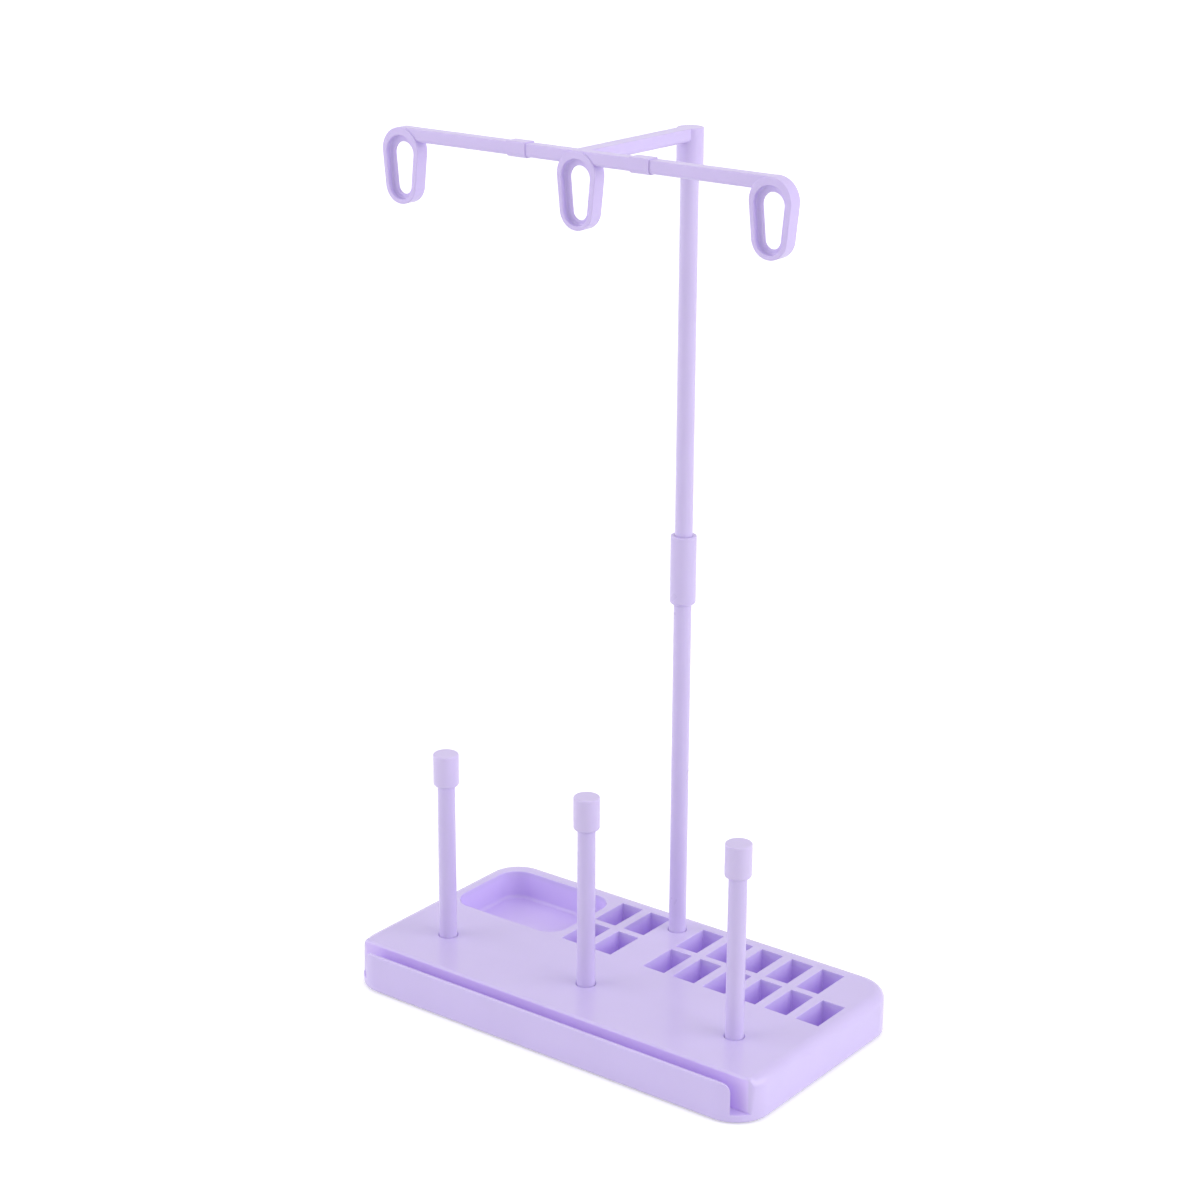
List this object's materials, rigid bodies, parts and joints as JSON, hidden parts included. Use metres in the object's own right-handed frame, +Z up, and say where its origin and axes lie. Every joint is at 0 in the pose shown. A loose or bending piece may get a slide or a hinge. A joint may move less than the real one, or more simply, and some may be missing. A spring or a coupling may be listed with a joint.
{
  "type": "thread rack",
  "caption": "Tabletop thread rack: moulded base with bobbin cells, tray and front slot, capped spool pins, and a two-piece pole whose crossbar carries thread guide loops.",
  "frame": {"origin": "on the surface that the rack stands on, under the middle of its base", "axes": "+X to the right along the base, +Y to the back where the pole stands, +Z up"},
  "size_m": [0.228, 0.1238, 0.4051],
  "materials": {
    "base_plastic": "semi-gloss lavender moulded plastic, faintly rippled",
    "pin_plastic": "semi-gloss lavender moulded plastic",
    "cap_plastic": "satin lavender moulded plastic",
    "pole_plastic": "semi-gloss lavender moulded plastic",
    "bar_plastic": "semi-gloss lavender moulded plastic",
    "foot_rubber": "matte translucent-looking pale grey anti-slip pad"
  },
  "bodies": {
    "stand": {"base": "base_plastic", "foot_front_left": "foot_rubber", "foot_front_right": "foot_rubber", "foot_back_left": "foot_rubber", "foot_back_right": "foot_rubber"},
    "pin_left": {"spool_pin_left": "pin_plastic"},
    "cap_left": {"pin_cap_left": "cap_plastic"},
    "pin_centre": {"spool_pin_centre": "pin_plastic"},
    "cap_centre": {"pin_cap_centre": "cap_plastic"},
    "pin_right": {"spool_pin_right": "pin_plastic"},
    "cap_right": {"pin_cap_right": "cap_plastic"},
    "lower_mast": {"lower_pole": "pole_plastic", "pole_coupler": "pole_plastic"},
    "upper_mast": {"upper_pole": "pole_plastic"},
    "bracket": {"top_bracket": "bar_plastic"},
    "left_arm": {"left_guide_arm": "bar_plastic"},
    "right_arm": {"right_guide_arm": "bar_plastic"}
  },
  "joints": [
    {"name": "pin_lift_left", "type": "slide", "parent": "stand", "child": "pin_left", "axis": [0, 0, 1], "range_m": [0, 0.017]},
    {"name": "cap_pull_left", "type": "slide", "parent": "pin_left", "child": "cap_left", "axis": [0, 0, 1], "range_m": [0, 0.0148]},
    {"name": "pin_lift_centre", "type": "slide", "parent": "stand", "child": "pin_centre", "axis": [0, 0, 1], "range_m": [0, 0.017]},
    {"name": "cap_pull_centre", "type": "slide", "parent": "pin_centre", "child": "cap_centre", "axis": [0, 0, 1], "range_m": [0, 0.0148]},
    {"name": "pin_lift_right", "type": "slide", "parent": "stand", "child": "pin_right", "axis": [0, 0, 1], "range_m": [0, 0.017]},
    {"name": "cap_pull_right", "type": "slide", "parent": "pin_right", "child": "cap_right", "axis": [0, 0, 1], "range_m": [0, 0.0148]},
    {"name": "lower_pole_lift", "type": "slide", "parent": "stand", "child": "lower_mast", "axis": [0, 0, 1], "range_m": [0, 0.017]},
    {"name": "upper_pole_lift", "type": "slide", "parent": "lower_mast", "child": "upper_mast", "axis": [0, 0, 1], "range_m": [0, 0.0175]},
    {"name": "bracket_swivel", "type": "hinge", "parent": "upper_mast", "child": "bracket", "pos_m": [0, 0.0462, 0.4045], "axis": [0, 0, 1], "continuous": true},
    {"name": "left_arm_pull", "type": "slide", "parent": "bracket", "child": "left_arm", "axis": [-1, 0, 0], "range_m": [0, 0.0105]},
    {"name": "right_arm_pull", "type": "slide", "parent": "bracket", "child": "right_arm", "axis": [1, 0, 0], "range_m": [0, 0.0105]}
  ]
}
